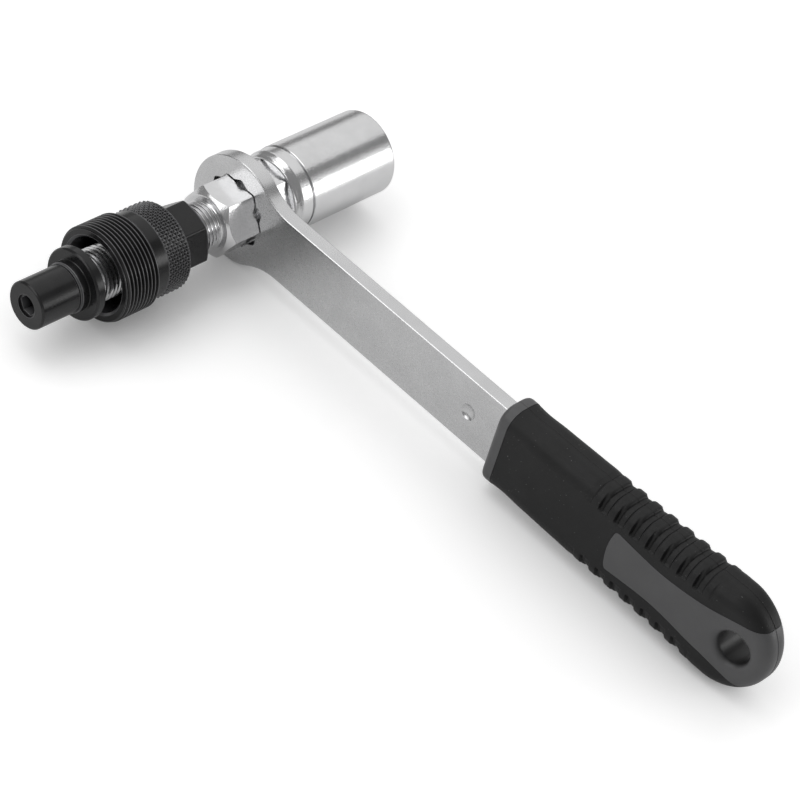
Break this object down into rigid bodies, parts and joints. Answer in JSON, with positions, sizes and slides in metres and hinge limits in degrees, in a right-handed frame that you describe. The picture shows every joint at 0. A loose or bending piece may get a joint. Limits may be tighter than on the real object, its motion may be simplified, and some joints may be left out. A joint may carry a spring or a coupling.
{
  "type": "bicycle crank puller",
  "caption": "Crank arm puller with a threaded nut, a swivelling nose and disc, a sliding ring wrench with a ribbed grip, and a hexagon socket for the crank bolt.",
  "frame": {"origin": "on the puller's axis, in the middle of the nut's outer thread, which screws into the crank arm", "axes": "-Y along the puller's axis towards the nose, +X along the wrench towards the grip, +Z across the wrench's width, up as the tool lies on a bench"},
  "size_m": [0.1725, 0.101, 0.026],
  "materials": {
    "plated_steel": "bright plated, turned and milled",
    "satin_steel": "satin plated flat bar",
    "black_oxide_steel": "black oxide, lightly oiled",
    "spring_steel": "drawn wire",
    "grey_plastic": "fine moulded texture",
    "black_rubber": "matte moulded rubber"
  },
  "bodies": {
    "spindle": {"spindle": "plated_steel", "socket": "plated_steel"},
    "swivel_tip": {"adapter_disc": "black_oxide_steel", "nose_screw": "black_oxide_steel"},
    "retaining_ring": {"retaining_ring": "spring_steel"},
    "puller_nut": {"puller_nut": "black_oxide_steel"},
    "wrench": {"wrench": "satin_steel", "grip_core": "grey_plastic", "grip_sleeve": "black_rubber"}
  },
  "joints": [
    {"name": "tip_swivel", "type": "hinge", "parent": "spindle", "child": "swivel_tip", "pos_m": [0, 0, 0], "axis": [0, 1, 0], "continuous": true},
    {"name": "nut_turn", "type": "hinge", "parent": "spindle", "child": "retaining_ring", "pos_m": [0, 0, 0], "axis": [0, 1, 0], "range_deg": [-5580, 1800]},
    {"name": "nut_travel", "type": "slide", "parent": "retaining_ring", "child": "puller_nut", "axis": [0, 1, 0], "range_m": [-0.0156, 0.0051]},
    {"name": "wrench_slide", "type": "slide", "parent": "spindle", "child": "wrench", "axis": [0, 1, 0], "range_m": [-0.007, 0.0063]}
  ],
  "couplings": [
    {"joint": "nut_travel", "follows": "nut_turn", "m_per_rad": 0.00015915}
  ]
}
